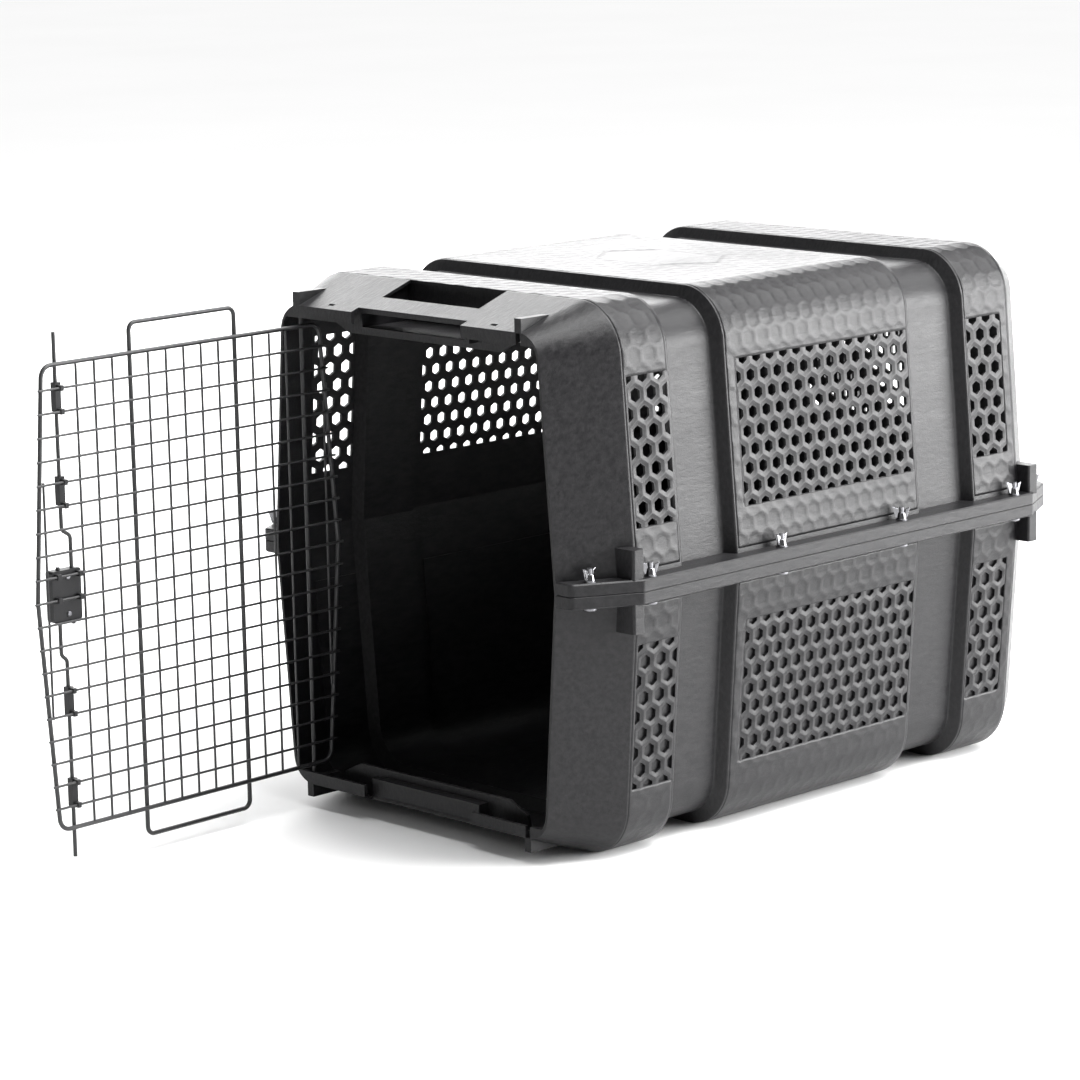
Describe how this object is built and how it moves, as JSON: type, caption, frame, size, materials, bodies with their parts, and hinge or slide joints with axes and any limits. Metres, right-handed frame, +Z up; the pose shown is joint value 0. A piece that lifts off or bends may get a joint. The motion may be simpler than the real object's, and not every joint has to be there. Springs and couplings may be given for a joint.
{
  "type": "two-piece pet kennel with wire door",
  "caption": "Moulded plastic pet kennel: two vented shells bolted at a mid-height flange, with a hinged welded-wire door and a squeeze latch whose rods lock top and bottom",
  "frame": {"origin": "on the floor under the middle of the kennel", "axes": "+Z up; the door end faces -Y; +X is to the right when facing the way the kennel points away from the door, and the door hinges on the -X side"},
  "size_m": [0.578, 1.2058, 0.612],
  "materials": {
    "shell_plastic": "semi-gloss moulded polypropylene with a fine grain, charcoal black",
    "black_wire": "black powder-coated steel wire",
    "latch_plastic": "fine-textured black nylon",
    "chrome": "bright plated",
    "bright_steel": "zinc-plated steel"
  },
  "bodies": {
    "kennel": {"upper_shell": "shell_plastic", "lower_shell": "shell_plastic", "upper_vent_grilles": "shell_plastic", "lower_vent_panels": "shell_plastic", "flange_bolts": "bright_steel", "bolt_washers": "bright_steel", "wing_nuts": "chrome"},
    "door": {"door_frame": "black_wire", "door_row_wires": "black_wire", "door_upright_wires": "black_wire", "door_loop": "black_wire", "hinge_rod": "black_wire", "latch_box": "latch_plastic", "latch_back_plate": "latch_plastic", "latch_screws": "bright_steel", "latch_spring_upper": "bright_steel", "latch_spring_lower": "bright_steel", "rod_guide_top": "latch_plastic", "rod_guide_upper": "latch_plastic", "rod_guide_lower": "latch_plastic", "rod_guide_bottom": "latch_plastic"},
    "upper_latch": {"latch_rod_upper": "black_wire", "latch_slider_upper": "latch_plastic"},
    "lower_latch": {"latch_rod_lower": "black_wire", "latch_slider_lower": "latch_plastic"}
  },
  "joints": [
    {"name": "door_hinge", "type": "hinge", "parent": "kennel", "child": "door", "pos_m": [-0.1816, -0.397, 0.306], "axis": [0, 0, -1], "range_deg": [-88, 55]},
    {"name": "upper_latch_slide", "type": "slide", "parent": "door", "child": "upper_latch", "axis": [0, 0, 1], "range_m": [-0.013, 0], "stiffness_N_per_m": 200, "springref_m": 0.02, "deforming": ["latch_spring_upper"]},
    {"name": "lower_latch_slide", "type": "slide", "parent": "door", "child": "lower_latch", "axis": [0, 0, 1], "range_m": [0, 0.013], "stiffness_N_per_m": 200, "springref_m": -0.02, "deforming": ["latch_spring_lower"]}
  ],
  "couplings": [
    {"joint": "lower_latch_slide", "follows": "upper_latch_slide", "ratio": -1}
  ]
}
